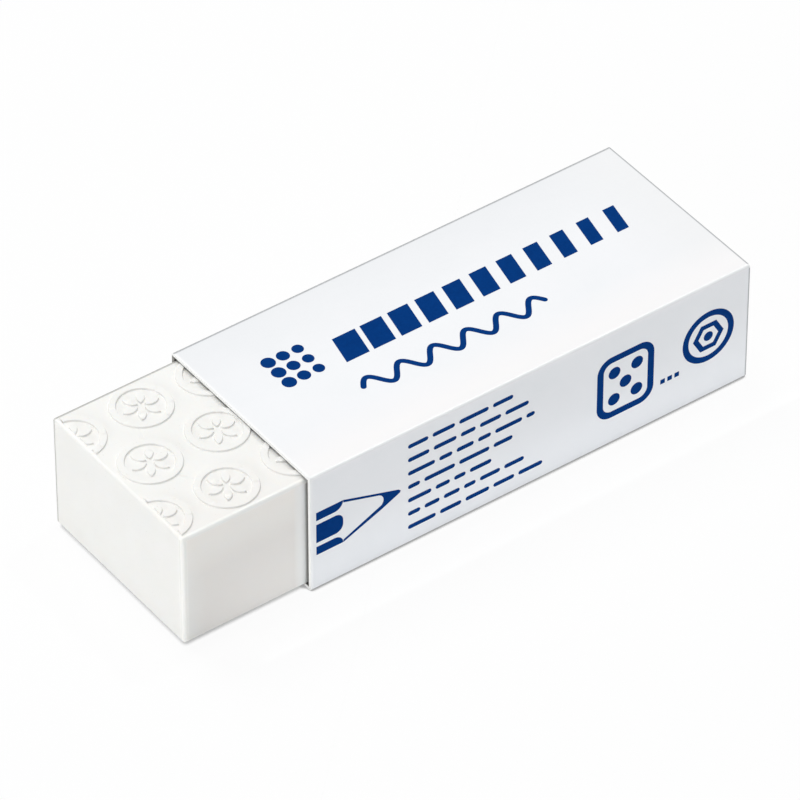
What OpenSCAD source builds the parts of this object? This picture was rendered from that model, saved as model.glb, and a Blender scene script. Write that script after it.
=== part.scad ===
// Vinyl eraser: a moulded white block held in an open-ended card sleeve that slides along it.
// Millimetres. +X runs along the block towards its covered end, +Z is up, and the sleeve stands on Z = 0.
// The origin is the middle of the base of the whole object.

/* [Block] */
// Length of the block
block_l = 65; // [55:0.5:80]
// Width of the block
block_w = 21; // [16:0.5:26]
// Height of the block
block_h = 13; // [10:0.5:16]
// Radius on the block's moulded edges
edge_r = 0.3; // [0.1:0.05:1]

/* [Relief on the block's top face] */
// Height of the raised rosettes
relief_h = 0.18; // [0.06:0.02:0.3]
// Outer radius of a rosette's ring
ring_r = 3.1; // [2.9:0.1:3.4]
// Width of the ring
ring_w = 0.7; // [0.3:0.05:0.75]
// Number of petals in a rosette
petal_n = 6; // [3:1:6]
// Length of a petal
petal_l = 1.6; // [1:0.05:1.7]
// Width of a petal
petal_w = 0.8; // [0.4:0.02:0.8]
// Distance from a rosette's centre to where its petals begin
heart_r = 0.4; // [0.35:0.05:0.6]
// Distance between rosettes along a row
pitch_x = 7.6; // [7:0.1:10]
// Distance between rows
pitch_y = 6.9; // [6.9:0.1:10]
// Plain border between the relief and the block's rounded edges
relief_border = 0.1; // [0.05:0.05:0.5]

/* [Sleeve] */
// Length of the sleeve
sleeve_l = 51.6; // [45:0.1:60]
// Length of block that stands out of the sleeve
bare_l = 13.9; // [5:0.1:20]
// Thickness of the card
card_t = 0.4; // [0.2:0.05:0.5]
// Outer radius of the folds, as a share of the card's thickness
fold_share = 0.75; // [0.3:0.05:0.9]
// Clearance between the block and the near wall
side_gap = 0.35; // [0.1:0.05:0.5]
// Clearance between the block and the glued wall
seam_gap = 0.05; // [0.05:0.05:0.3]
// Clearance between the relief and the card over it
top_gap = 0.07; // [0.05:0.01:0.4]
// How far the glued wall's outer layer stops below the top
lap_step = 2; // [0.8:0.1:3]
// How far the glued wall's inner layer stops above the bottom panel
flap_step = 0.3; // [0.1:0.1:2]

/* [Hidden] */
$fn = 64;
sleeve_w = block_w + side_gap + seam_gap + 3 * card_t;
sleeve_h = block_h + relief_h + top_gap + 2 * card_t;
whole_l = max(block_l, bare_l + sleeve_l);
end_x = -whole_l / 2;
near_y = -sleeve_w / 2;
far_y = sleeve_w / 2;
fold_r = fold_share * card_t;
fold_in = card_t - fold_r;
flap_y = far_y - 2 * card_t;
block_x = end_x + block_l / 2;
block_y = near_y + card_t + side_gap + block_w / 2;
top_z = card_t + block_h;
// How deep a raised shape is rooted in the block
root_d = 0.5;
// Overlap where two cuts or joined shapes would share a face
lap = 1;
// A petal is where two equal discs cross; this is their radius
petal_arc_r = (petal_l * petal_l + petal_w * petal_w) / (4 * petal_w);
relief_l = block_l - 2 * (edge_r + relief_border);
relief_w = block_w - 2 * (edge_r + relief_border);
columns = ceil(block_l / pitch_x);
rows = floor((block_w / 2 + ring_r) / pitch_y);

// A rectangle with round corners, about the origin
module rounded_rect(l, w, r) {
    square([l - 2 * r, w], center = true);
    square([l, w - 2 * r], center = true);
    for (x = [-1, 1], y = [-1, 1]) {
        translate([x * (l / 2 - r), y * (w / 2 - r)]) {
            circle(r);
        }
    }
}

// The plain block: its plan, side and end outlines crossed, so that every edge is rounded
module plain_block() {
    intersection() {
        linear_extrude(block_h, center = true) {
            rounded_rect(block_l, block_w, edge_r);
        }
        rotate([90, 0, 0]) {
            linear_extrude(block_w + lap, center = true) {
                rounded_rect(block_l, block_h, edge_r);
            }
        }
        rotate([90, 0, 90]) {
            linear_extrude(block_l + lap, center = true) {
                rounded_rect(block_w, block_h, edge_r);
            }
        }
    }
}

// One petal, lying along X from heart_r outwards
module petal() {
    translate([heart_r + petal_l / 2, 0]) {
        intersection() {
            translate([0, petal_arc_r - petal_w / 2]) {
                circle(petal_arc_r);
            }
            translate([0, petal_w / 2 - petal_arc_r]) {
                circle(petal_arc_r);
            }
        }
    }
}

// One compass-drawn rosette: petals in a ring
module rosette() {
    difference() {
        circle(ring_r);
        circle(ring_r - ring_w);
    }
    for (i = [0 : petal_n - 1]) {
        rotate(i * 360 / petal_n) {
            petal();
        }
    }
}

// Rows of rosettes, every other row moved by half a pitch, cut off at the relief's border
module rosette_field() {
    intersection() {
        square([relief_l, relief_w], center = true);
        for (row = [-rows : rows]) {
            for (column = [0 : columns]) {
                translate([(column + (row % 2 == 0 ? 0.5 : 0)) * pitch_x - block_l / 2, row * pitch_y]) {
                    rosette();
                }
            }
        }
    }
}

// The vinyl block with its raised relief
module eraser_block() {
    color("WhiteSmoke") {
        translate([block_x, block_y, card_t + block_h / 2]) {
            plain_block();
        }
        translate([block_x, block_y, top_z - root_d]) {
            linear_extrude(root_d + relief_h) {
                rosette_field();
            }
        }
    }
}

// One scored fold, its sharp inner corner at the origin, turned so that its round corner faces the given way
module fold(turn) {
    rotate(turn) {
        square([card_t, fold_in]);
        square([fold_in, card_t]);
        translate([fold_in, fold_in]) {
            intersection() {
                circle(fold_r);
                translate([-fold_in, -fold_in]) {
                    square(card_t + lap);
                }
            }
        }
    }
}

// The folded strip seen from its end: Y to the right, Z up
module sleeve_section() {
    // near wall and its two folds
    translate([near_y, card_t]) {
        square([card_t, sleeve_h - 2 * card_t]);
    }
    translate([near_y + card_t, card_t]) {
        fold(180);
    }
    translate([near_y + card_t, sleeve_h - card_t]) {
        fold(90);
    }
    // top panel, fold and inner flap
    translate([near_y + card_t, sleeve_h - card_t]) {
        square([flap_y - near_y - card_t, card_t]);
    }
    translate([flap_y, sleeve_h - card_t]) {
        fold(0);
    }
    translate([flap_y, card_t + flap_step]) {
        square([card_t, sleeve_h - 2 * card_t - flap_step]);
    }
    // bottom panel, fold and the outer layer glued on the flap
    translate([near_y + card_t, 0]) {
        square([sleeve_w - 2 * card_t, card_t]);
    }
    translate([far_y - card_t, card_t]) {
        fold(270);
    }
    translate([far_y - card_t, card_t]) {
        square([card_t, sleeve_h - card_t - lap_step]);
    }
}

// The card sleeve, folded from one strip and open at both ends
module sleeve() {
    color("White") {
        translate([end_x + bare_l, 0, 0]) {
            rotate([90, 0, 90]) {
                linear_extrude(sleeve_l) {
                    sleeve_section();
                }
            }
        }
    }
}

eraser_block();
sleeve();
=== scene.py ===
"""A white vinyl eraser in its open-ended card sleeve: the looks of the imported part.

Lengths are written in millimetres, as in the part's source, and turned into metres where a mesh is made.
"""

import math
import random

import bmesh
import bpy
from mathutils import Matrix, Vector
from mathutils.geometry import delaunay_2d_cdt


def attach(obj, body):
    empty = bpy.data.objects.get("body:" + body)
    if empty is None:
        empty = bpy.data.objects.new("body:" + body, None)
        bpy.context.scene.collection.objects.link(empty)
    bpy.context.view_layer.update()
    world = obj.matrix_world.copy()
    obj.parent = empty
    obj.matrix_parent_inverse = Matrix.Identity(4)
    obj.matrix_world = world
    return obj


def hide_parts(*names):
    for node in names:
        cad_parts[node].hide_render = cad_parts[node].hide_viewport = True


MM = 0.001
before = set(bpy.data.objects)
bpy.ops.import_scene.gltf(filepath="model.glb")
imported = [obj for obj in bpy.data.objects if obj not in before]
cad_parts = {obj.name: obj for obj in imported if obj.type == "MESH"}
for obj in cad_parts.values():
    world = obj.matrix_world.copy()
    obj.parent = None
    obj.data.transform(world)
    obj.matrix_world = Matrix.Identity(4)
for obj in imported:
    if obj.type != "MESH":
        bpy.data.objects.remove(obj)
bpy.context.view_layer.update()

# The part's own sizes, as its source names them
BLOCK_L, BLOCK_W, BLOCK_H = 65.0, 21.0, 13.0
EDGE_R = 0.3
RELIEF_H, RING_R, RING_W = 0.18, 3.1, 0.7
PETAL_N, PETAL_L, PETAL_W, HEART_R = 6, 1.6, 0.8, 0.4
PITCH_X, PITCH_Y, RELIEF_BORDER = 7.6, 6.9, 0.1
SLEEVE_L, BARE_L, CARD_T, FOLD_SHARE = 51.6, 13.9, 0.4, 0.75
SIDE_GAP, SEAM_GAP, TOP_GAP = 0.35, 0.05, 0.07
LAP_STEP, FLAP_STEP = 2.0, 0.3

SLEEVE_W = BLOCK_W + SIDE_GAP + SEAM_GAP + 3 * CARD_T
SLEEVE_H = BLOCK_H + RELIEF_H + TOP_GAP + 2 * CARD_T
FOLD_R = FOLD_SHARE * CARD_T
END_X = -(BARE_L + SLEEVE_L) / 2
NEAR_Y, FAR_Y = -SLEEVE_W / 2, SLEEVE_W / 2
MOUTH_X = END_X + BARE_L
SLEEVE_END_X = MOUTH_X + SLEEVE_L
BLOCK_X = END_X + BLOCK_L / 2
BLOCK_NEAR_Y = NEAR_Y + CARD_T + SIDE_GAP
BLOCK_Y = BLOCK_NEAR_Y + BLOCK_W / 2
BLOCK_FAR_Y = BLOCK_NEAR_Y + BLOCK_W
TOP_Z = CARD_T + BLOCK_H

# The ink is a film this thick, and the card's face lies that much inside the solid's
INK_T = 0.01
# Half the thickness of the glue between the two layers of the glued wall
GLUE_T = 0.01
FLAP_Y = FAR_Y - CARD_T - GLUE_T

# The outer sides of the block and the sleeve: an axis, a place on it and the way that the side faces
BLOCK_SIDES = {
    "left": ("X", END_X, -1),
    "near": ("Y", BLOCK_NEAR_Y, -1),
    "far": ("Y", BLOCK_FAR_Y, 1),
    "top": ("Z", TOP_Z, 1),
    "foot": ("Z", CARD_T, -1),
}
SLEEVE_SIDES = {
    "mouth": ("X", MOUTH_X, -1),
    "end": ("X", SLEEVE_END_X, 1),
    "near": ("Y", NEAR_Y, -1),
    "far": ("Y", FLAP_Y, 1),
    "wall": ("Y", FAR_Y, 1),
    "top": ("Z", SLEEVE_H, 1),
    "foot": ("Z", 0, -1),
}


# Node helpers


class Nodes:
    """Short calls for building one material's nodes."""

    def __init__(self, name, sides=None):
        self.sides = sides
        self.material = bpy.data.materials.new(name)
        self.material.use_nodes = True
        self.tree = self.material.node_tree
        self.tree.nodes.clear()
        self.out = self.tree.nodes.new("ShaderNodeOutputMaterial")
        self.place = self.tree.nodes.new("ShaderNodeTexCoord").outputs["Object"]
        self.xyz = self.add("ShaderNodeSeparateXYZ", {"Vector": self.place}).outputs

    def add(self, kind, inputs=None, **settings):
        node = self.tree.nodes.new(kind)
        for key, value in settings.items():
            setattr(node, key, value)
        for key, value in (inputs or {}).items():
            self.put(node.inputs[key], value)
        return node

    def put(self, socket, value):
        if isinstance(value, bpy.types.NodeSocket):
            self.tree.links.new(value, socket)
        else:
            socket.default_value = value

    def noise(self, scale, detail=3.0, rough=0.55, stretch=(1, 1, 1), at=(0, 0, 0)):
        where = self.add("ShaderNodeMapping", {"Vector": self.place, "Scale": stretch, "Location": at})
        inputs = {"Vector": where.outputs["Vector"], "Scale": scale, "Detail": detail, "Roughness": rough}
        return self.add("ShaderNodeTexNoise", inputs).outputs["Fac"]

    def fit(self, value, low, high, to_low=0.0, to_high=1.0):
        inputs = {"Value": value, "From Min": low, "From Max": high, "To Min": to_low, "To Max": to_high}
        return self.add("ShaderNodeMapRange", inputs).outputs["Result"]

    def math(self, operation, *values):
        return self.add("ShaderNodeMath", dict(enumerate(values)), operation=operation).outputs["Value"]

    def mix(self, factor, one, other):
        node = self.add("ShaderNodeMix", data_type="RGBA")
        self.put(node.inputs["Factor"], factor)
        self.put(node.inputs[6], one)
        self.put(node.inputs[7], other)
        return node.outputs[2]

    def bump(self, height, distance_mm, strength=1.0, under=None):
        inputs = {"Height": height, "Distance": distance_mm * MM, "Strength": strength}
        if under is not None:
            inputs["Normal"] = under
        return self.add("ShaderNodeBump", inputs).outputs["Normal"]

    def times(self, *values):
        return self.chain("MULTIPLY", values)

    def most(self, *values):
        return self.chain("MAXIMUM", values)

    def chain(self, operation, values):
        total = values[0]
        for value in values[1:]:
            total = self.math(operation, total, value)
        return total

    def rim(self, names, full, none):
        """1 at a side, or along the edge where two sides meet, falling to 0 from full to none inside it."""
        depths = []
        for name in names.split():
            axis, place, way = self.sides[name]
            depths.append(self.math("MULTIPLY_ADD", self.xyz[axis], -way, way * place * MM))
        return self.fit(self.chain("ADD", depths), full * MM, none * MM, 1.0, 0.0)

    def band(self, axis, middle, half, soft):
        """1 within half of a place along an axis, falling to 0 over soft."""
        away = self.math("ABSOLUTE", self.math("SUBTRACT", self.xyz[axis], middle * MM))
        return self.fit(away, half * MM, (half + soft) * MM, 1.0, 0.0)

    def surface(self, **inputs):
        named = {key.replace("_", " "): value for key, value in inputs.items()}
        shader = self.add("ShaderNodeBsdfPrincipled", named)
        self.tree.links.new(shader.outputs["BSDF"], self.out.inputs["Surface"])
        return self.material


def srgb(red, green, blue):
    """A colour written as 0 to 255 on screen, as Blender's linear values."""
    linear = []
    for value in (red, green, blue):
        value /= 255
        linear.append(value / 12.92 if value <= 0.04045 else ((value + 0.055) / 1.055) ** 2.4)
    return (*linear, 1.0)


# Materials


def vinyl_colour(n, painted_highlight_and_gloss):
    """Cloudy warm white with specks, with painted shade on the relief's flanks and along some edges, and
    painted light and shade on the near side and at the sleeve's mouth.
    """
    on_top, on_near = n.rim("top", 0.1, 0.3), n.rim("near", 0.05, 0.2)
    cloud = n.fit(n.noise(90, 4, 0.6), 0.3, 0.7)
    colour = n.mix(cloud, srgb(243, 242, 238), srgb(247, 246, 243))
    speck = n.fit(n.noise(5200, 1, 0.4, at=(0.3, 0.1, 0)), 0.74, 0.82)
    colour = n.mix(speck, colour, srgb(228, 226, 219))
    # Painted shade: the near side a little darker and pinker, less at its edges, and the top darker along
    # the near edge; painted light: the near side paler and warmer near its top
    off_edges = n.fit(n.most(n.rim("top", 0.6, 4.5), n.rim("left", 0.3, 2.6)), 0, 1, 0.8, 0)
    painted_side_shade = n.times(on_near, off_edges)
    painted_top_shade = n.times(n.rim("near", 0.5, 8), on_top, 0.35)
    colour = n.mix(n.most(painted_side_shade, painted_top_shade), colour, srgb(241, 236, 231))
    colour = n.mix(n.times(on_near, n.rim("top", 1.5, 5.5)), colour, srgb(252, 247, 241))
    # At the mouth: a painted light band on the sides, a painted shade on the top and a painted dark line of
    # shade just inside the gap
    painted_shading = n.times(n.band("X", MOUTH_X - 0.25, 0.25, 0.9), n.fit(on_top, 0, 1, 1, 0))
    colour = n.mix(painted_shading, colour, srgb(254, 254, 252))
    colour = n.mix(n.times(n.band("X", MOUTH_X, 0.4, 1.3), on_top), colour, srgb(240, 239, 236))
    # Painted shade on the relief's flanks, halfway up the raised shapes
    painted_flank_shade = n.times(n.band("Z", TOP_Z + RELIEF_H / 2, 0, RELIEF_H / 2), 0.3)
    colour = n.mix(painted_flank_shade, colour, srgb(196, 195, 190))
    painted_gap_line = n.times(n.band("X", MOUTH_X + 0.24, 0.09, 0.3), n.fit(on_near, 0, 1, 0.1, 0.8))
    colour = n.mix(painted_gap_line, colour, srgb(165, 165, 161))
    # A painted highlight on the near edges
    colour = n.mix(painted_highlight_and_gloss, colour, srgb(255, 254, 249))
    # Painted shade along the far top edge, the far left edge and the foot's near and left edges
    foot = n.times(n.rim("foot", 0.1, 0.2), n.most(n.rim("near", 0.3, 0.5), n.rim("left", 0.3, 0.5)))
    painted_edge_shade = n.most(n.rim("far top", 0.3, 0.46), n.rim("left far", 0.3, 0.46), foot)
    return n.mix(n.times(painted_edge_shade, 0.9), colour, srgb(172, 172, 168))


def vinyl_material():
    """Soft moulded vinyl: a little light passes under its silky skin, and the near edges are smoother and
    painted lighter as a highlight.
    """
    n = Nodes("vinyl", BLOCK_SIDES)
    # The near edges: glossier, and painted lighter as a highlight
    painted_highlight_and_gloss = n.most(n.rim("near top", 0.28, 0.46), n.rim("left near", 0.4, 0.65))
    scuff = n.fit(n.noise(700, 5, 0.7, stretch=(1, 0.25, 1), at=(0, 0.4, 0)), 0.45, 0.75)
    normal = n.bump(n.noise(4200, 3, 0.6), 0.012, 0.4)
    normal = n.bump(n.noise(260, 2, 0.5, at=(0.7, 0, 0.2)), 0.05, 0.2, normal)
    return n.surface(
        Base_Color=vinyl_colour(n, painted_highlight_and_gloss),
        Roughness=n.times(n.fit(scuff, 0, 1, 0.42, 0.56), n.fit(painted_highlight_and_gloss, 0, 1, 1, 0.45)),
        IOR=1.5,
        Subsurface_Weight=0.18,
        Subsurface_Radius=(1.0, 0.85, 0.7),
        Subsurface_Scale=0.0008,
        Normal=normal,
    )


def card_material():
    """The card's printed face: clay-coated, cool white, fibres under the coat, with painted light and shade
    on the top and at some edges.
    """
    n = Nodes("card_coated", SLEEVE_SIDES)
    patch = n.fit(n.noise(140, 4, 0.6), 0.3, 0.7)
    colour = n.mix(patch, srgb(244, 245, 247), srgb(247, 247, 249))
    on_top = n.rim("top", 0.1, 0.3)
    # Painted light and shade on the top: darker towards the far side and the far end, lighter towards the
    # near edge
    colour = n.mix(n.times(n.rim("far", 0.5, 9), on_top, 0.5), colour, srgb(233, 234, 236))
    colour = n.mix(n.times(n.rim("end", 1.5, 9), on_top), colour, srgb(243, 243, 244))
    colour = n.mix(n.times(n.rim("near", 1.5, 6), on_top), colour, srgb(250, 248, 248))
    # A painted highlight along the mouth
    colour = n.mix(n.rim("mouth", 0.1, 0.35), colour, srgb(254, 254, 254))
    # Painted shade at the foot, along the far top fold and at the far end
    foot = n.times(n.rim("foot", 0.1, 0.18), n.rim("near", 0.3, 0.5))
    painted_shading = n.most(n.rim("far top", 0.3, 0.46), n.rim("end", 0.08, 0.2), foot)
    colour = n.mix(n.times(painted_shading, 0.9), colour, srgb(166, 168, 170))
    # A painted highlight on the near top fold, which is also glossier
    painted_fold_highlight_and_gloss = n.rim("near top", 0.2, 0.4)
    colour = n.mix(painted_fold_highlight_and_gloss, colour, srgb(254, 254, 254))
    fibre = n.noise(900, 5, 0.65, stretch=(0.35, 1, 1))
    rough = n.times(n.fit(fibre, 0.3, 0.7, 0.36, 0.48), n.fit(painted_fold_highlight_and_gloss, 0, 1, 1, 0.45))
    normal = n.bump(fibre, 0.008, 0.4)
    normal = n.bump(n.noise(60, 2, 0.5, at=(0.5, 0.2, 0)), 0.12, 0.1, normal)
    return n.surface(Base_Color=colour, Roughness=rough, IOR=1.48, Normal=normal)


def back_material():
    """The card's uncoated inside: grey board, rough and fibrous, with a painted shade just behind its mouth.
    """
    n = Nodes("card_inside")
    fibre = n.noise(1500, 6, 0.7, stretch=(0.3, 1, 1))
    colour = n.mix(n.fit(fibre, 0.3, 0.7), srgb(158, 156, 151), srgb(178, 176, 170))
    # A painted shade on the inside, just behind the mouth
    painted_mouth_shade = n.times(n.band("X", MOUTH_X, 0.6, 1.6), 0.85)
    colour = n.mix(painted_mouth_shade, colour, srgb(84, 83, 80))
    return n.surface(Base_Color=colour, Roughness=0.9, Normal=n.bump(fibre, 0.03, 0.6))


def cut_material():
    """The card's die-cut edge: a thick white ply outside and a thin grey one inside."""
    n = Nodes("card_cut_edge", SLEEVE_SIDES)
    layers = n.noise(2600, 4, 0.7)
    white = n.mix(n.fit(layers, 0.3, 0.7), srgb(250, 250, 248), srgb(254, 254, 253))
    grey = n.mix(n.fit(layers, 0.3, 0.7), srgb(132, 130, 126), srgb(152, 150, 145))
    outer = n.most(*(n.rim(side, 0.33, 0.38) for side in ("near", "wall", "foot", "top")))
    colour = n.mix(outer, grey, white)
    return n.surface(Base_Color=colour, Roughness=0.85, Normal=n.bump(layers, 0.01, 0.5))


def ink_material():
    """Dark blue offset ink, matt and a little uneven."""
    n = Nodes("ink")
    cover = n.noise(1600, 5, 0.7)
    colour = n.mix(n.fit(cover, 0.35, 0.75), srgb(1, 53, 119), srgb(4, 60, 130))
    return n.surface(
        Base_Color=colour,
        Roughness=n.fit(cover, 0.3, 0.7, 0.5, 0.62),
        Specular_IOR_Level=0.015,
        Normal=n.bump(cover, 0.004, 0.5),
    )


def seen_directly(tree):
    """1 for what the camera, a reflection or glass sees, 0 for light on its way between surfaces."""
    path = tree.nodes.new("ShaderNodeLightPath").outputs
    total = path["Is Camera Ray"]
    for name in ("Is Glossy Ray", "Is Transmission Ray"):
        node = tree.nodes.new("ShaderNodeMath")
        node.operation = "MAXIMUM"
        tree.links.new(total, node.inputs[0])
        tree.links.new(path[name], node.inputs[1])
        total = node.outputs[0]
    return total


def floor_material():
    """The plain white table: it glows to the eye, and keeps a faint shadow and a dark line of contact."""
    n = Nodes("floor")
    glowing = 0.94  # the share of what the eye sees that is glow, and not light on the table
    lit = n.add("ShaderNodeBsdfDiffuse", {"Color": (0.96, 0.96, 0.96, 1)})
    contact = n.add("ShaderNodeAmbientOcclusion", {"Distance": 0.6 * MM}, samples=12)
    strength = n.fit(contact.outputs["AO"], 0.46, 0.68, 0.35, 0.995)
    glow = n.add("ShaderNodeEmission", {"Strength": strength})
    mixed = n.add("ShaderNodeMixShader", {0: n.math("MULTIPLY", seen_directly(n.tree), glowing)})
    n.put(mixed.inputs[1], lit.outputs["BSDF"])
    n.put(mixed.inputs[2], glow.outputs["Emission"])
    n.put(n.out.inputs["Surface"], mixed.outputs[0])
    return n.material


# Meshes


def new_object(name, points, faces, materials, slots=None, normals=None):
    """A mesh object from points in millimetres. slots gives each face's material."""
    mesh = bpy.data.meshes.new(name)
    mesh.from_pydata([tuple(c * MM for c in p) for p in points], [], faces)
    for material in materials:
        mesh.materials.append(material)
    if slots:
        mesh.polygons.foreach_set("material_index", slots)
    if normals:
        mesh.polygons.foreach_set("use_smooth", [True] * len(faces))
        mesh.normals_split_custom_set_from_vertices(normals)
    mesh.update()
    obj = bpy.data.objects.new(name, mesh)
    bpy.context.scene.collection.objects.link(obj)
    return obj


def facing(corners):
    """The way that a flat face with these corners looks."""
    total = Vector()
    for a, b in zip(corners, corners[1:] + corners[:1]):
        total += Vector(a).cross(Vector(b))
    return total


# The block's relief

SOFT = 0.055  # half the width of a raised shape's rounded flank
LEVELS = (SOFT, SOFT * 0.55, 0.0, -SOFT * 0.55, -SOFT)
RING_STEPS, BARE_RING_STEPS, PETAL_STEPS = 84, 72, 9
PETAL_ARC = (PETAL_L**2 + PETAL_W**2) / (4 * PETAL_W)
PETAL_MID = HEART_R + PETAL_L / 2
BARE_RING = (RING_R - RING_W + HEART_R + PETAL_L) / 2  # between the petals' tips and the ring
RELIEF_X = BLOCK_L / 2 - EDGE_R - RELIEF_BORDER
RELIEF_Y = BLOCK_W / 2 - EDGE_R - RELIEF_BORDER


def rosette_centres():
    """Rows of rosettes, every other row moved by half a pitch, in the block's own plan."""
    rows = int((BLOCK_W / 2 + RING_R) // PITCH_Y)
    columns = math.ceil(BLOCK_L / PITCH_X)
    return [
        ((column + (0.5 if row % 2 == 0 else 0)) * PITCH_X - BLOCK_L / 2, row * PITCH_Y)
        for row in range(-rows, rows + 1)
        for column in range(columns + 1)
    ]


def rosette_distance(x, y):
    """Signed distance from a rosette's outline, and its direction. Negative inside."""
    reach = math.hypot(x, y)
    if reach > BARE_RING:
        middle = RING_R - RING_W / 2
        side = 1 if reach > middle else -1
        return abs(reach - middle) - RING_W / 2, (side * x / reach, side * y / reach)
    turn = round(math.atan2(y, x) / (math.tau / PETAL_N)) * math.tau / PETAL_N
    c, s = math.cos(turn), math.sin(turn)
    u, v = x * c + y * s - PETAL_MID, -x * s + y * c
    side = 1 if v >= 0 else -1
    away = v + side * (PETAL_ARC - PETAL_W / 2)
    far = math.hypot(u, away)
    return far - PETAL_ARC, ((u * c - away * s) / far, (u * s + away * c) / far)


def relief_height(x, y, centres):
    """Height of the relief over the block's plain top, and the surface's direction there."""
    near = min(centres, key=lambda p: (p[0] - x) ** 2 + (p[1] - y) ** 2)
    distance, way = rosette_distance(x - near[0], y - near[1])
    over_x, over_y = abs(x) - RELIEF_X, abs(y) - RELIEF_Y
    if over_x > max(distance, over_y):
        distance, way = over_x, (math.copysign(1, x), 0)
    elif over_y > distance:
        distance, way = over_y, (0, math.copysign(1, y))
    t = min(max((SOFT - distance) / (2 * SOFT), 0), 1)
    slope = 6 * t * (1 - t) / (2 * SOFT) * RELIEF_H
    normal = Vector((way[0] * slope, way[1] * slope, 1)).normalized()
    return RELIEF_H * t * t * (3 - 2 * t), normal


def circle_points(x, y, radius, steps):
    turns = [math.tau * i / steps for i in range(steps)]
    return [(x + radius * math.cos(a), y + radius * math.sin(a)) for a in turns]


def petal_points(x, y, turn, grow, steps):
    """The outline of a petal grown by a distance: where two discs cross."""
    radius = PETAL_ARC + grow
    offset = PETAL_ARC - PETAL_W / 2
    half = math.acos(min(offset / radius, 1))
    arc = []
    for side in (1, -1):
        for i in range(steps):
            a = side * (half - 2 * half * i / steps)
            arc.append((PETAL_MID + radius * math.sin(a), side * (radius * math.cos(a) - offset)))
    c, s = math.cos(turn), math.sin(turn)
    return [(x + u * c - v * s, y + u * s + v * c) for u, v in arc]


def clip(a, b, limit_x, limit_y):
    """The part of the line from a to b inside the given half sizes, or None."""
    low, high = 0.0, 1.0
    for axis, limit in ((0, limit_x), (1, limit_y)):
        step = b[axis] - a[axis]
        if abs(step) < 1e-12:
            if abs(a[axis]) > limit:
                return None
            continue
        ends = sorted(((-limit - a[axis]) / step, (limit - a[axis]) / step))
        low, high = max(low, ends[0]), min(high, ends[1])
    if low >= high:
        return None
    return [tuple(a[k] + (b[k] - a[k]) * t for k in (0, 1)) for t in (low, high)]


def relief_lines(centres):
    """Lines along the flanks of every raised shape, for the top face's triangles to follow."""
    lines = []
    for grow in LEVELS:
        limit = (RELIEF_X + grow, RELIEF_Y + grow)
        outlines = []
        for x, y in centres:
            outlines.append(circle_points(x, y, RING_R + grow, RING_STEPS))
            outlines.append(circle_points(x, y, RING_R - RING_W - grow, BARE_RING_STEPS))
            for i in range(PETAL_N):
                outlines.append(petal_points(x, y, math.tau * i / PETAL_N, grow, PETAL_STEPS))
        for outline in outlines:
            for a, b in zip(outline, outline[1:] + outline[:1]):
                part = clip(a, b, *limit)
                if part:
                    lines.append(part)
        corners = [(sx * limit[0], sy * limit[1]) for sx, sy in ((1, 1), (-1, 1), (-1, -1), (1, -1))]
        lines += [list(pair) for pair in zip(corners, corners[1:] + corners[:1])]
    return lines


def top_face():
    """Points, triangles and normals of the block's top, in its own plan and from its plain level."""
    centres = rosette_centres()
    hx, hy = BLOCK_L / 2 - EDGE_R, BLOCK_W / 2 - EDGE_R
    corners = [(hx, hy), (-hx, hy), (-hx, -hy), (hx, -hy)]
    points, edges, seen = [], [], {}

    def index(p):
        key = (round(p[0], 6), round(p[1], 6))
        if key not in seen:
            seen[key] = len(points)
            points.append(Vector(p))
        return seen[key]

    for a, b in [*zip(corners, corners[1:] + corners[:1]), *relief_lines(centres)]:
        pair = (index(a), index(b))
        if pair[0] != pair[1]:
            edges.append(pair)
    flat, _, faces, *_ = delaunay_2d_cdt(points, edges, [], 0, 1e-6)
    placed, normals = [], []
    for p in flat:
        height, normal = relief_height(p.x, p.y, centres)
        placed.append((p.x, p.y, height))
        normals.append(normal)
    return placed, [tuple(f) for f in faces], normals


def plan_ring(offset, steps):
    """The block's rounded plan: its top's outline pushed out by offset, with the way each point faces."""
    hx, hy = BLOCK_L / 2 - EDGE_R, BLOCK_W / 2 - EDGE_R
    ring = []
    for quarter, (sx, sy) in enumerate(((1, 1), (-1, 1), (-1, -1), (1, -1))):
        for i in range(steps + 1):
            a = math.pi / 2 * (quarter + i / steps)
            way = (math.cos(a), math.sin(a))
            ring.append(((sx * hx + offset * way[0], sy * hy + offset * way[1]), way))
    return ring


def make_block(material):
    """The vinyl block: relief on top, rounded edges all round, and a plain base."""
    points, faces, normals = top_face()
    points = [(x + BLOCK_X, y + BLOCK_Y, z + TOP_Z) for x, y, z in points]
    steps = 7
    levels = []
    for sign in (1, -1):
        for k in range(steps + 1):
            a = math.pi / 2 * (1 - k / steps if sign > 0 else k / steps)
            height = sign * (BLOCK_H / 2 - EDGE_R + EDGE_R * math.sin(a))
            levels.append((EDGE_R * math.cos(a), height, sign * math.sin(a), math.cos(a)))
    middle = CARD_T + BLOCK_H / 2
    rings = []
    for offset, height, up, out in levels:
        ring = []
        for (x, y), way in plan_ring(offset, steps):
            ring.append(len(points))
            points.append((x + BLOCK_X, y + BLOCK_Y, middle + height))
            normals.append(Vector((way[0] * out, way[1] * out, up)))
        rings.append(ring)
    count = len(rings[0])
    for upper, lower in zip(rings, rings[1:]):
        for i in range(count):
            j = (i + 1) % count
            faces.append((upper[i], lower[i], lower[j], upper[j]))
    faces.append(tuple(reversed(rings[-1])))
    obj = new_object("vinyl_block", points, faces, [material])
    return weld(obj, dict(zip(map(rounded, points), normals)))


def rounded(p):
    return tuple(round(c, 4) for c in p)


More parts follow.
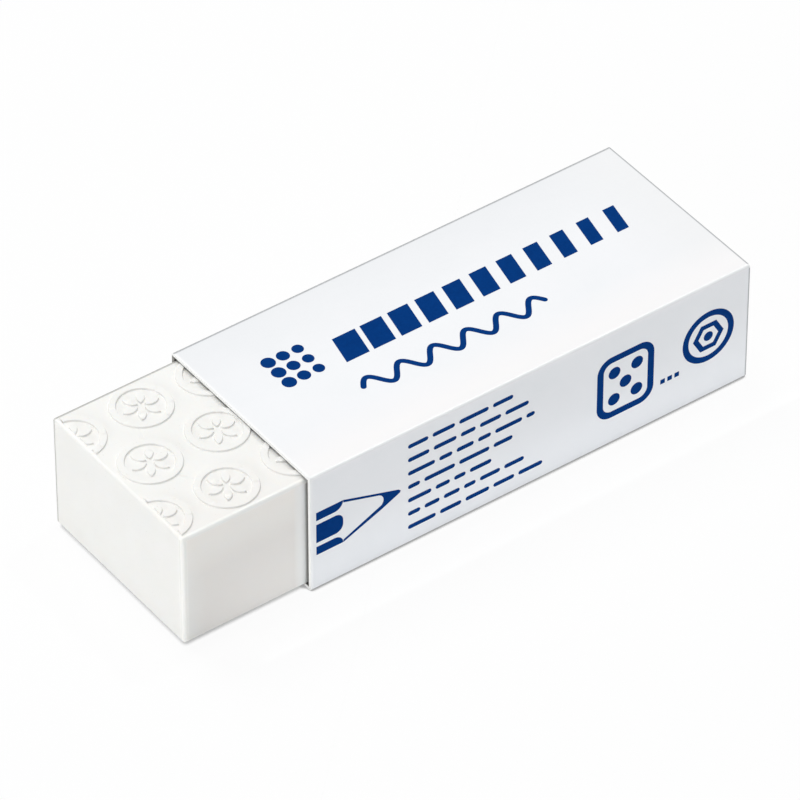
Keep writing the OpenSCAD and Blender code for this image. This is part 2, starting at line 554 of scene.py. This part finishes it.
def weld(obj, normal_at):
    """Joins points that share a place, drops faces with no area, and sets the normals by place."""
    b = bmesh.new()
    b.from_mesh(obj.data)
    bmesh.ops.remove_doubles(b, verts=b.verts, dist=1e-7)
    bmesh.ops.dissolve_degenerate(b, edges=b.edges, dist=1e-8)
    bmesh.ops.recalc_face_normals(b, faces=b.faces)
    for face in b.faces:
        face.smooth = True
    b.to_mesh(obj.data)
    b.free()
    found = []
    for vertex in obj.data.vertices:
        key = rounded(c / MM for c in vertex.co)
        found.append(normal_at.get(key, vertex.normal))
    obj.data.normals_split_custom_set_from_vertices(found)
    return obj


# The sleeve


def sleeve_section():
    """The folded strip from its end: its outer points with the way each faces, and its inner points."""
    near, far, low, high = NEAR_Y + INK_T, FAR_Y - INK_T, INK_T, SLEEVE_H - INK_T
    lap_z, flap_z = SLEEVE_H - LAP_STEP, CARD_T + FLAP_STEP
    steps = 8
    outer = [((far, lap_z), (1, 0))]
    folds = (
        (far, low, -1, 1, 0),
        (near, low, 1, 1, -90),
        (near, high, 1, -1, -180),
        (FLAP_Y, high, -1, -1, -270),
    )
    for y, z, to_y, to_z, start in folds:
        for i in range(steps + 1):
            a = math.radians(start - 90 * i / steps)
            way = (math.cos(a), math.sin(a))
            outer.append(((y + FOLD_R * (to_y + way[0]), z + FOLD_R * (to_z + way[1])), way))
    outer.append(((FLAP_Y, flap_z), (1, 0)))
    wall, bottom, top = FAR_Y - CARD_T + GLUE_T, CARD_T, SLEEVE_H - CARD_T
    inside = NEAR_Y + CARD_T
    flap = FLAP_Y - CARD_T + GLUE_T
    inner = [(wall, lap_z), (wall, bottom), (inside, bottom), (inside, top), (flap, top), (flap, flap_z)]
    return outer, inner


def make_sleeve(coated, cut, inside):
    """The card sleeve: one strip, swept from its mouth to its far end."""
    coated_slot, cut_slot, inside_slot = range(3)
    outer, inner = sleeve_section()
    steps = 6
    stations = [MOUTH_X + SLEEVE_L * k / steps for k in range(steps + 1)]
    points, faces, slots, normals = [], [], [], []

    def add_face(indices, slot):
        want = sum((normals[i] for i in indices), Vector())
        if facing([points[i] for i in indices]).dot(want) < 0:
            indices = tuple(reversed(indices))
        faces.append(indices)
        slots.append(slot)

    def sheet(line, slot):
        """A long face of the strip, from points of the section with the way each faces."""
        base, width = len(points), len(line)
        for x in stations:
            for (y, z), way in line:
                points.append((x, y, z))
                normals.append(Vector((0, *way)))
        for k in range(steps):
            for i in range(width - 1):
                a = base + k * width + i
                add_face((a, a + 1, a + 1 + width, a + width), slot)

    sheet(outer, coated_slot)
    inward = ((-1, 0), (0, 1), (1, 0), (0, -1), (-1, 0))
    for a, b, way in zip(inner, inner[1:], inward):
        sheet([(a, way), (b, way)], inside_slot)
    rim = [p for p, _ in outer]
    for end, up in ((0, 1), (-1, -1)):
        sheet([(rim[end], (0, up)), (inner[end], (0, up))], cut_slot)
    for x, way in ((MOUTH_X, -1), (SLEEVE_END_X, 1)):
        base = len(points)
        for y, z in rim + inner[::-1]:
            points.append((x, y, z))
            normals.append(Vector((way, 0, 0)))
        add_face(tuple(range(base, len(points))), cut_slot)
    return new_object("card_sleeve_folded", points, faces, [coated, cut, inside], slots, normals)


# The print: shapes in a plan of u, from the sleeve's mouth, and v. A shape is an outline and its holes


def bar(u0, v0, u1, v1, slant=0.0):
    """A bar, its top moved along u by slant times its height."""
    lean = slant * (v1 - v0)
    return [(u0, v0), (u1, v0), (u1 + lean, v1), (u0 + lean, v1)]


def arc(u, v, radius, start, end, steps=12):
    """Points round a circle between two angles in degrees."""
    turns = [math.radians(start + (end - start) * i / steps) for i in range(steps + 1)]
    return [(u + radius * math.cos(a), v + radius * math.sin(a)) for a in turns]


def pill(u0, u1, v, thick):
    """A bar with round ends."""
    r = thick / 2
    return arc(u1 - r, v, r, -90, 90, 6) + arc(u0 + r, v, r, 90, 270, 6)


def round_box(u0, v0, u1, v1, radius):
    """A box with round corners."""
    outline = []
    for turn, (u, v) in zip((0, 90, 180, 270), ((u1, v1), (u0, v1), (u0, v0), (u1, v0))):
        cu = u - radius if u == u1 else u + radius
        cv = v - radius if v == v1 else v + radius
        outline += arc(cu, cv, radius, turn, turn + 90)
    return outline


def polygon(u, v, radius, sides):
    return arc(u, v, radius, 0.0, 360 - 360 / sides, sides - 1)


def stroke(path, thick):
    """A line of even thickness along a path, with round ends."""
    half = thick / 2
    left, right, angles = [], [], []
    last = len(path) - 1
    for i, (u, v) in enumerate(path):
        a, b = path[max(i - 1, 0)], path[min(i + 1, last)]
        turn = math.atan2(b[1] - a[1], b[0] - a[0])
        left.append((u - half * math.sin(turn), v + half * math.cos(turn)))
        right.append((u + half * math.sin(turn), v - half * math.cos(turn)))
        angles.append(math.degrees(turn))
    front = arc(*path[-1], half, angles[-1] + 90, angles[-1] - 90, 8)[1:-1]
    back = arc(*path[0], half, angles[0] - 90, angles[0] - 270, 8)[1:-1]
    return left + front + right[::-1] + back


def top_print():
    """The top panel, v from its middle line towards the far side: dots, bars thinning out and a wave."""
    shapes = []
    dot_r, smaller, dot_pitch = 0.74, 0.07, 1.7
    for i in range(3):
        for j in range(3):
            u, v = 6.4 + dot_pitch * i, 0.9 + dot_pitch * j
            shapes.append([polygon(u, v, dot_r - smaller * i, 32)])
    bar_w, thinner, bar_pitch, bar_h, slant = 2.65, 0.13, 3.2, 3.5, 0.22
    for i in range(11):
        u = 12.4 + bar_pitch * i
        shapes.append([bar(u, 0.0, u + bar_w - thinner * i, bar_h, slant)])
    left, length, middle, height, waves, steps = 11.6, 21.2, -3.75, 0.95, 5.5, 220
    wave = []
    for i in range(steps + 1):
        turn = math.tau * waves * i / steps
        wave.append((left + length * i / steps, middle + height * math.sin(turn)))
    shapes.append([stroke(wave, 0.58)])
    return shapes


def pencil_print():
    """A pencil's pointed end: three bands with scalloped ends, the bare cone and the lead."""
    left, end, cone = 0.65, 3.73, 3.75
    foot, head, notch, bulge = 4.25, 9.5, 1.0, 0.9
    top = [(left, 8.5), (left, head), (end, head)] + arc(end - notch, head, notch, 0, -90)
    middle = [(left, 8.0), (left, 5.75)]
    middle += arc(end - bulge, 6.65, bulge, -90, 0, 8) + arc(end - bulge, 7.1, bulge, 0, 90, 8)
    low = [(left, 5.25), (left, foot), (end, foot)] + arc(end - notch, foot, notch, 0, 90)
    tip = [(8.0, 8.1), (10.1, 7.42), (10.35, 7.2), (10.28, 6.98), (8.2, 6.02)]
    outside = [(cone, head), *tip, (cone, foot)]
    inside = [(cone, 4.55), *arc(7.55, 7.1, 0.83, -44, 70), (cone, 9.2)]
    return [[top], [middle], [low], [outside + inside]]


def side_print():
    """The near wall, v up from the base: a pencil, dashes, framed dots, squares and a ringed hexagon."""
    shapes = pencil_print()
    rng = random.Random(11)
    left, row_v, row_pitch = 11.2, 12.1, 1.68
    thick, gap, shortest = 0.5, 0.5, 0.9
    for row, length in enumerate((12.3, 15.4, 14.8, 12.2, 10.9, 14.0, 16.5)):
        v = row_v - row_pitch * row
        u, end = left, left + length
        while u < end - shortest:
            size = min(rng.uniform(1.3, 3.6), end - u)
            shapes.append([pill(u, u + size, v, thick)])
            u += size + gap
    # The rounded frame with its five dots
    shapes.append([round_box(33.4, 3.3, 40.2, 10.9, 1.7), round_box(34.15, 4.05, 39.45, 10.15, 1.0)])
    u, v, step_u, step_v, dot_r = 36.8, 7.1, 1.35, 1.65, 0.7
    for across, up in ((-1, -1), (-1, 1), (0, 0), (1, -1), (1, 1)):
        shapes.append([polygon(u + step_u * across, v + step_v * up, dot_r, 32)])
    # The three small squares
    pitch = 0.85
    for i in range(3):
        shapes.append([bar(41.05 + pitch * i, 4.4, 41.6 + pitch * i, 4.95)])
    # The ring with its hexagon and middle dot
    u, v = 46.75, 7.6
    shapes.append([polygon(u, v, 3.1, 64), polygon(u, v, 2.4, 64)])
    shapes.append([polygon(u, v, 1.85, 6), polygon(u, v, 1.2, 6)])
    shapes.append([polygon(u, v, 0.55, 24)])
    return shapes


def make_print(name, shapes, place, material):
    """A film of ink: each shape is an outline and its holes, filled and given the film's thickness."""
    curve = bpy.data.curves.new(name, "CURVE")
    curve.dimensions = "2D"
    curve.fill_mode = "BOTH"
    for shape in shapes:
        for outline in shape:
            spline = curve.splines.new("POLY")
            spline.points.add(len(outline) - 1)
            for point, (u, v) in zip(spline.points, outline):
                point.co = (u, v, 0, 1)
            spline.use_cyclic_u = True
    curve.extrude = INK_T
    flat = bpy.data.objects.new(name + "_flat", curve)
    bpy.context.scene.collection.objects.link(flat)
    bpy.context.view_layer.update()
    mesh = bpy.data.meshes.new_from_object(flat.evaluated_get(bpy.context.evaluated_depsgraph_get()))
    bpy.data.objects.remove(flat)
    bpy.data.curves.remove(curve)
    b = bmesh.new()
    b.from_mesh(mesh)
    bmesh.ops.remove_doubles(b, verts=b.verts, dist=1e-5)
    b.transform(Matrix.Scale(MM, 4) @ place)
    bmesh.ops.recalc_face_normals(b, faces=b.faces)
    b.to_mesh(mesh)
    b.free()
    mesh.name = name
    mesh.materials.clear()
    mesh.materials.append(material)
    obj = bpy.data.objects.new(name, mesh)
    bpy.context.scene.collection.objects.link(obj)
    return obj


# Stage, lamps and camera


def make_floor():
    half = 3000
    corners = [(-half, -half, 0), (half, -half, 0), (half, half, 0), (-half, half, 0)]
    new_object("floor", corners, [(0, 1, 2, 3)], [floor_material()])


def make_world():
    """Even cool daylight, which the eye sees as plain white."""
    world = bpy.data.worlds.new("studio")
    bpy.context.scene.world = world
    world.use_nodes = True
    tree = world.node_tree
    tree.nodes.clear()
    out = tree.nodes.new("ShaderNodeOutputWorld")
    mix = tree.nodes.new("ShaderNodeMixShader")
    tree.links.new(seen_directly(tree), mix.inputs["Fac"])
    sky_light, seen_white = ((0.92, 0.965, 1.0, 1), 0.455), ((1, 1, 1, 1), 1.0)
    for socket, (colour, strength) in enumerate((sky_light, seen_white), 1):
        light = tree.nodes.new("ShaderNodeBackground")
        light.inputs["Color"].default_value = colour
        light.inputs["Strength"].default_value = strength
        tree.links.new(light.outputs[0], mix.inputs[socket])
    tree.links.new(mix.outputs[0], out.inputs["Surface"])


def make_lamp(name, place, target, size, level, colour=(1, 1, 1)):
    """A soft box, hidden from the eye. level is what it adds to a white surface facing it at the target."""
    data = bpy.data.lights.new(name, "AREA")
    data.shape = "RECTANGLE"
    data.size, data.size_y = (s * MM for s in size)
    back = (Vector(place) - Vector(target)) * MM
    data.energy = level * math.pi**2 * back.length_squared
    data.color = colour
    lamp = bpy.data.objects.new(name, data)
    lamp.location = Vector(place) * MM
    lamp.rotation_euler = back.to_track_quat("Z", "Y").to_euler()
    lamp.visible_camera = False
    bpy.context.scene.collection.objects.link(lamp)
    return lamp


def make_lamps():
    """A key high behind, a low fill from the left, a small lamp for the near edges, and a low strip."""
    make_lamp("key", (-100, 800, 1245), (0, 0, 0), (600, 600), 0.475, (1.0, 0.975, 0.945))
    make_lamp("fill", (-1116, -360, 260), (0, 0, 6), (500, 300), 0.26, (1.0, 0.985, 0.975))
    make_lamp("edge", (675, 150, 1320), (0, 0, 0), (100, 100), 0.15)
    # The strip lights the foot of the sleeve's near wall, a little more towards the mouth
    shift, height, away, size = 3, 1, 5.5, (SLEEVE_L + 12, 1.6)
    middle = (MOUTH_X + SLEEVE_END_X) / 2 - shift
    place, target = (middle, NEAR_Y - away, height), (middle, NEAR_Y, height)
    strip = make_lamp("strip", place, target, size, 1.3, (0.97, 0.985, 1.0))
    strip.visible_glossy = False


def make_camera():
    """The photograph's view, fitted to the object's corners in it."""
    azimuth, elevation = math.radians(-36.278), math.radians(41.279)
    place, lens = Vector((-309.697, -421.551, 465.191)), 330.48
    back = Vector(
        (
            math.sin(azimuth) * math.cos(elevation),
            -math.cos(azimuth) * math.cos(elevation),
            math.sin(elevation),
        )
    )
    right = Vector((0, 0, 1)).cross(back).normalized()
    up = back.cross(right)
    data = bpy.data.cameras.new("camera")
    data.sensor_fit = "HORIZONTAL"
    data.sensor_width = 36
    data.lens = lens
    data.clip_start = 0.01
    camera = bpy.data.objects.new("camera", data)
    turn = Matrix((right, up, back)).transposed().to_4x4()
    camera.matrix_world = Matrix.Translation(place * MM) @ turn
    bpy.context.scene.collection.objects.link(camera)
    bpy.context.scene.camera = camera


def main():
    make_camera()
    make_world()
    make_lamps()
    make_floor()
    block = make_block(vinyl_material())
    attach(block, "block")
    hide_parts("eraser_block")
    sleeve = make_sleeve(card_material(), cut_material(), back_material())
    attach(sleeve, "card_sleeve")
    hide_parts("sleeve")
    ink = ink_material()
    on_top = Matrix.Translation((MOUTH_X, 0, SLEEVE_H - INK_T))
    near = Matrix.Translation((MOUTH_X, NEAR_Y + INK_T, 0)) @ Matrix.Rotation(math.pi / 2, 4, "X")
    for name, shapes, place in (("print_top", top_print(), on_top), ("print_side", side_print(), near)):
        film = make_print(name, shapes, place, ink)
        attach(film, "card_sleeve")
    bpy.context.scene.view_settings.view_transform = "Standard"
    bpy.context.view_layer.update()


main()
